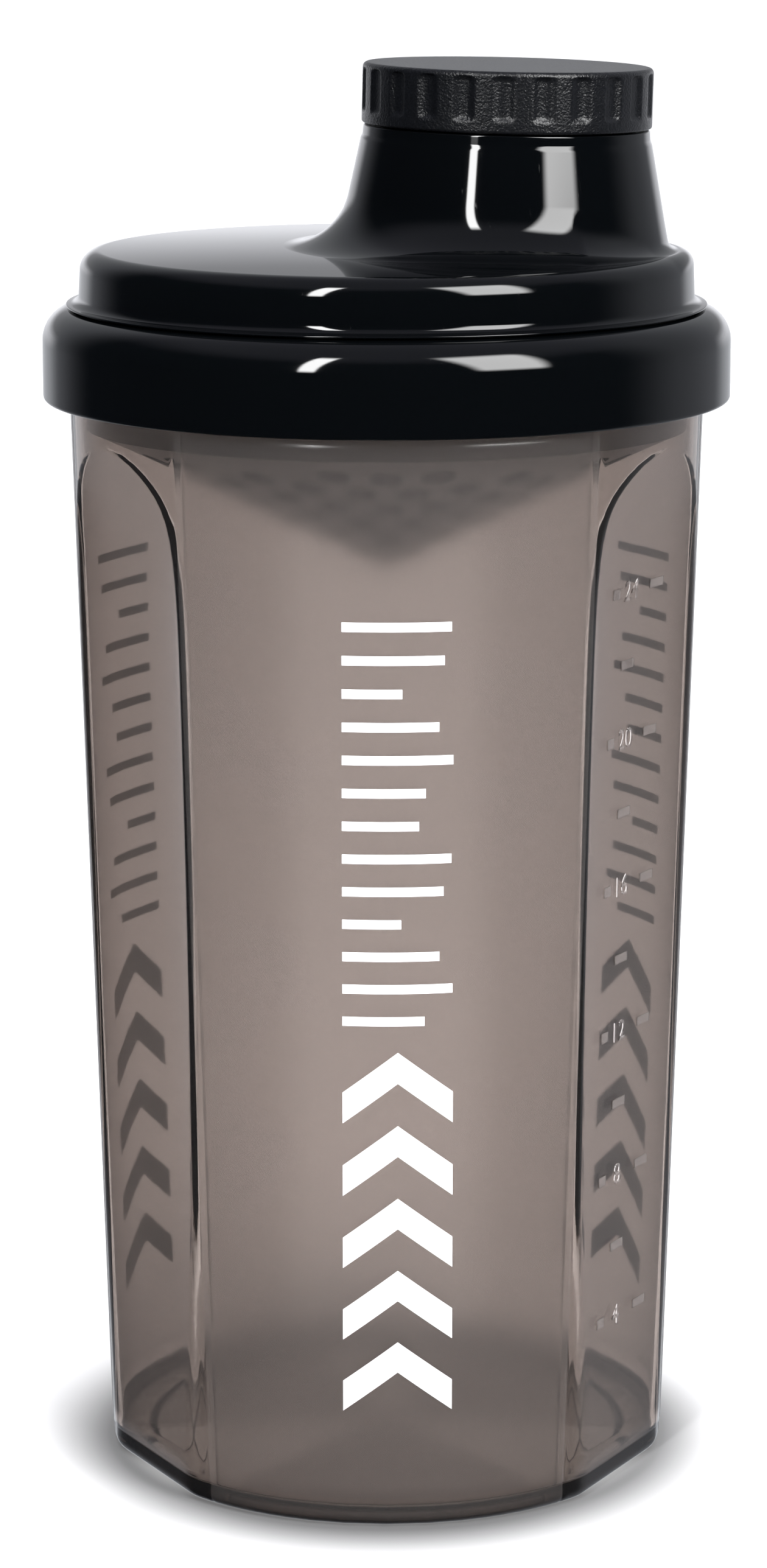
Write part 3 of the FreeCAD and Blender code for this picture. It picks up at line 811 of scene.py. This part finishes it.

# ---------------------------------------------------------------- studio
# A pale floor with a painted contact shadow round the base and a painted glow under the cup,
# a bright ground behind, a dark front, and two soft boxes: a narrow one left of the camera
# and a wide one right of it. Seen directly, the ground is white.


def floor_paint():
    """Matt white floor with a painted contact shadow round the base and a painted glow under the cup.
    """
    material, tree, output = blank_material("floor_paint")
    place = put(tree, "ShaderNodeTexCoord")
    cloud = put(tree, "ShaderNodeTexNoise", {"Vector": place.outputs["Object"], "Scale": 3.0})
    shade = put(tree, "ShaderNodeMix", {"Factor": cloud.outputs["Fac"], "A": linear("#F2F2F3"),
                                        "B": linear("#F6F6F7")}, data_type="RGBA")
    away = put(tree, "ShaderNodeVectorMath", operation="LENGTH")
    tree.links.new(place.outputs["Object"], away.inputs[0])
    # Painted contact shadow: the floor's colour is darkened in an oval ring round the base, darkest
    # where the base meets it.
    oval = put(tree, "ShaderNodeVectorMath", {0: place.outputs["Object"], 1: (1.06, 1.0, 1.0)},
               operation="MULTIPLY")
    from_oval = put(tree, "ShaderNodeVectorMath", {0: oval.outputs["Vector"]}, operation="LENGTH")
    painted_contact_shadow = put(tree, "ShaderNodeMapRange", {
        "Value": from_oval.outputs["Value"], "From Min": 0.0385, "From Max": 0.063,
        "To Min": 0.10, "To Max": 1.0}, interpolation_type="SMOOTHSTEP")
    painted_shadow_colour = put(tree, "ShaderNodeVectorMath", operation="SCALE")
    tree.links.new(shade.outputs[2], painted_shadow_colour.inputs[0])
    tree.links.new(painted_contact_shadow.outputs["Result"], painted_shadow_colour.inputs["Scale"])
    # Painted pool of light: the floor glows under the cup, in place of light let through the cup.
    painted_light_pool = put(tree, "ShaderNodeMapRange", {
        "Value": away.outputs["Value"], "From Min": 0.035, "From Max": 0.043,
        "To Min": 0.85, "To Max": 0.0}, interpolation_type="SMOOTHSTEP")
    shader = put(tree, "ShaderNodeBsdfPrincipled", {
        "Base Color": painted_shadow_colour.outputs["Vector"],
        "Roughness": 0.9,
        "Specular IOR Level": 0.0,
        "Emission Color": linear("#FFFFFF"),
        "Emission Strength": painted_light_pool.outputs["Result"],
    })
    tree.links.new(shader.outputs["BSDF"], output.inputs["Surface"])
    return material


far = 40.0                  # metres: the floor runs on almost to the horizon
floor_mesh = bpy.data.meshes.new("floor")
floor_mesh.from_pydata([(-far, -far, 0), (far, -far, 0), (far, far, 0), (-far, far, 0)], [],
                       [(0, 1, 2, 3)])
floor = bpy.data.objects.new("floor", floor_mesh)
floor.data.materials.append(floor_paint())
floor.visible_glossy = False
bpy.context.scene.collection.objects.link(floor)


def soft_box(name, azimuth, elevation, distance, width, height, power, fade):
    """An area light at an azimuth from the camera's side, facing the lid, with soft edges."""
    light = bpy.data.lights.new(name, "AREA")
    light.use_nodes = True
    glow = light.node_tree
    glow.nodes.clear()
    cloth = put(glow, "ShaderNodeNewGeometry")
    sides = put(glow, "ShaderNodeSeparateXYZ", {"Vector": cloth.outputs["Parametric"]})
    level = 1.0
    for axis in ("X", "Y"):
        mirrored = put(glow, "ShaderNodeMath", {0: sides.outputs[axis], 1: 0.5}, operation="SUBTRACT")
        middle = put(glow, "ShaderNodeMath", {0: mirrored.outputs["Value"]}, operation="ABSOLUTE")
        soft = put(glow, "ShaderNodeMapRange", {
            "Value": middle.outputs["Value"], "From Min": 0.5, "From Max": 0.5 - fade,
            "To Min": 0.0, "To Max": 1.0}, interpolation_type="SMOOTHSTEP")
        both = put(glow, "ShaderNodeMath", {0: soft.outputs["Result"], 1: level}, operation="MULTIPLY")
        level = both.outputs["Value"]
    lit = put(glow, "ShaderNodeEmission", {"Strength": level})
    put(glow, "ShaderNodeOutputLight", {"Surface": lit.outputs["Emission"]})
    light.shape = "RECTANGLE"
    light.size = width
    light.size_y = height
    light.energy = power
    lamp = bpy.data.objects.new(name, light)
    a, e = np.radians(azimuth), np.radians(elevation)
    aim = np.array([0.0, 0.0, 0.17])
    away = np.array([np.sin(a) * np.cos(e), -np.cos(a) * np.cos(e), np.sin(e)])
    lamp.location = aim + distance * away
    lamp.rotation_euler = (np.pi / 2 - e, 0, a)
    bpy.context.scene.collection.objects.link(lamp)
    return lamp


soft_box("strip", -26.0, 33.0, 1.6, 0.20, 1.6, 25.0, 0.2)
soft_box("wide_box", 42.0, 35.0, 1.6, 0.85, 1.6, 54.0, 0.2)

daylight = bpy.data.lights.new("daylight", "SUN")
daylight.energy = 3.4
daylight.angle = np.radians(70)
high = bpy.data.objects.new("daylight", daylight)
high.visible_glossy = False
bpy.context.scene.collection.objects.link(high)

def studio_ground():
    """What the cup and the lid mirror and let through, as a mix by direction.

    Straight behind it is bright, in a band by height that is brightest at the horizon.
    Towards the sides it dims and in front it is almost black, the left sooner than the
    right, and overhead it is a middling grey. Seen directly it is white.
    """
    world = bpy.data.worlds.new("studio")
    world.use_nodes = True
    sky = world.node_tree
    sky.nodes.clear()
    direction = put(sky, "ShaderNodeTexCoord")
    parts = put(sky, "ShaderNodeSeparateXYZ", {"Vector": direction.outputs["Generated"]})
    side = put(sky, "ShaderNodeMapRange", {
        "Value": parts.outputs["X"], "From Min": -0.9, "From Max": 0.7,
        "To Min": -0.55, "To Max": 0.0})
    leant = put(sky, "ShaderNodeMath", {0: parts.outputs["Y"], 1: side.outputs["Result"]},
                operation="ADD")
    dim = put(sky, "ShaderNodeMapRange", {
        "Value": leant.outputs["Value"], "From Min": -0.15, "From Max": 0.40,
        "To Min": 0.0, "To Max": 1.0}, interpolation_type="SMOOTHSTEP")
    bright = put(sky, "ShaderNodeMapRange", {
        "Value": parts.outputs["Y"], "From Min": 0.76, "From Max": 0.90,
        "To Min": 0.0, "To Max": 1.0}, interpolation_type="SMOOTHSTEP")
    wing = put(sky, "ShaderNodeMix", {
        "Factor": dim.outputs["Result"], "A": (0.02, 0.023, 0.03, 1),
        "B": (0.33, 0.34, 0.37, 1)}, data_type="RGBA")
    rise = put(sky, "ShaderNodeMapRange", {
        "Value": parts.outputs["Z"], "From Min": -0.5, "From Max": 0.5})
    band = put(sky, "ShaderNodeValToRGB", {"Fac": rise.outputs["Result"]})
    stops = band.color_ramp.elements
    stops[0].position, stops[0].color = 0.38, (0.68, 0.70, 0.74, 1)
    stops[1].position, stops[1].color = 0.75, (0.35, 0.36, 0.38, 1)
    for position, tone in ((0.49, 1.15), (0.545, 1.15), (0.64, 0.42)):
        stops.new(position).color = (tone, tone * 1.01, tone * 1.06, 1)
    shade = put(sky, "ShaderNodeMix", {
        "Factor": bright.outputs["Result"], "A": wing.outputs[2],
        "B": band.outputs["Color"]}, data_type="RGBA")
    high_up = put(sky, "ShaderNodeMapRange", {
        "Value": parts.outputs["Z"], "From Min": 0.55, "From Max": 0.88,
        "To Min": 0.0, "To Max": 1.0}, interpolation_type="SMOOTHSTEP")
    roof = put(sky, "ShaderNodeMix", {
        "Factor": high_up.outputs["Result"], "A": shade.outputs[2],
        "B": (0.24, 0.24, 0.28, 1)}, data_type="RGBA")
    seen = put(sky, "ShaderNodeLightPath")
    paper = put(sky, "ShaderNodeMix", {
        "Factor": seen.outputs["Is Camera Ray"], "A": roof.outputs[2],
        "B": linear("#FFFFFF")}, data_type="RGBA")
    ground = put(sky, "ShaderNodeBackground", {"Color": paper.outputs[2], "Strength": 1.0})
    put(sky, "ShaderNodeOutputWorld", {"Surface": ground.outputs["Background"]})
    return world


bpy.context.scene.world = studio_ground()

lens = bpy.data.cameras.new("camera")
lens.lens = 103.26
lens.sensor_width = 36.0
lens.shift_x = -0.0020
lens.clip_start = 0.01
camera = bpy.data.objects.new("camera", lens)
camera.location = (0.0, -0.6606, 0.2436)
camera.rotation_euler = (np.radians(90 - 12.10), 0, 0)
bpy.context.scene.collection.objects.link(camera)
bpy.context.scene.camera = camera
bpy.context.scene.view_settings.view_transform = "Standard"
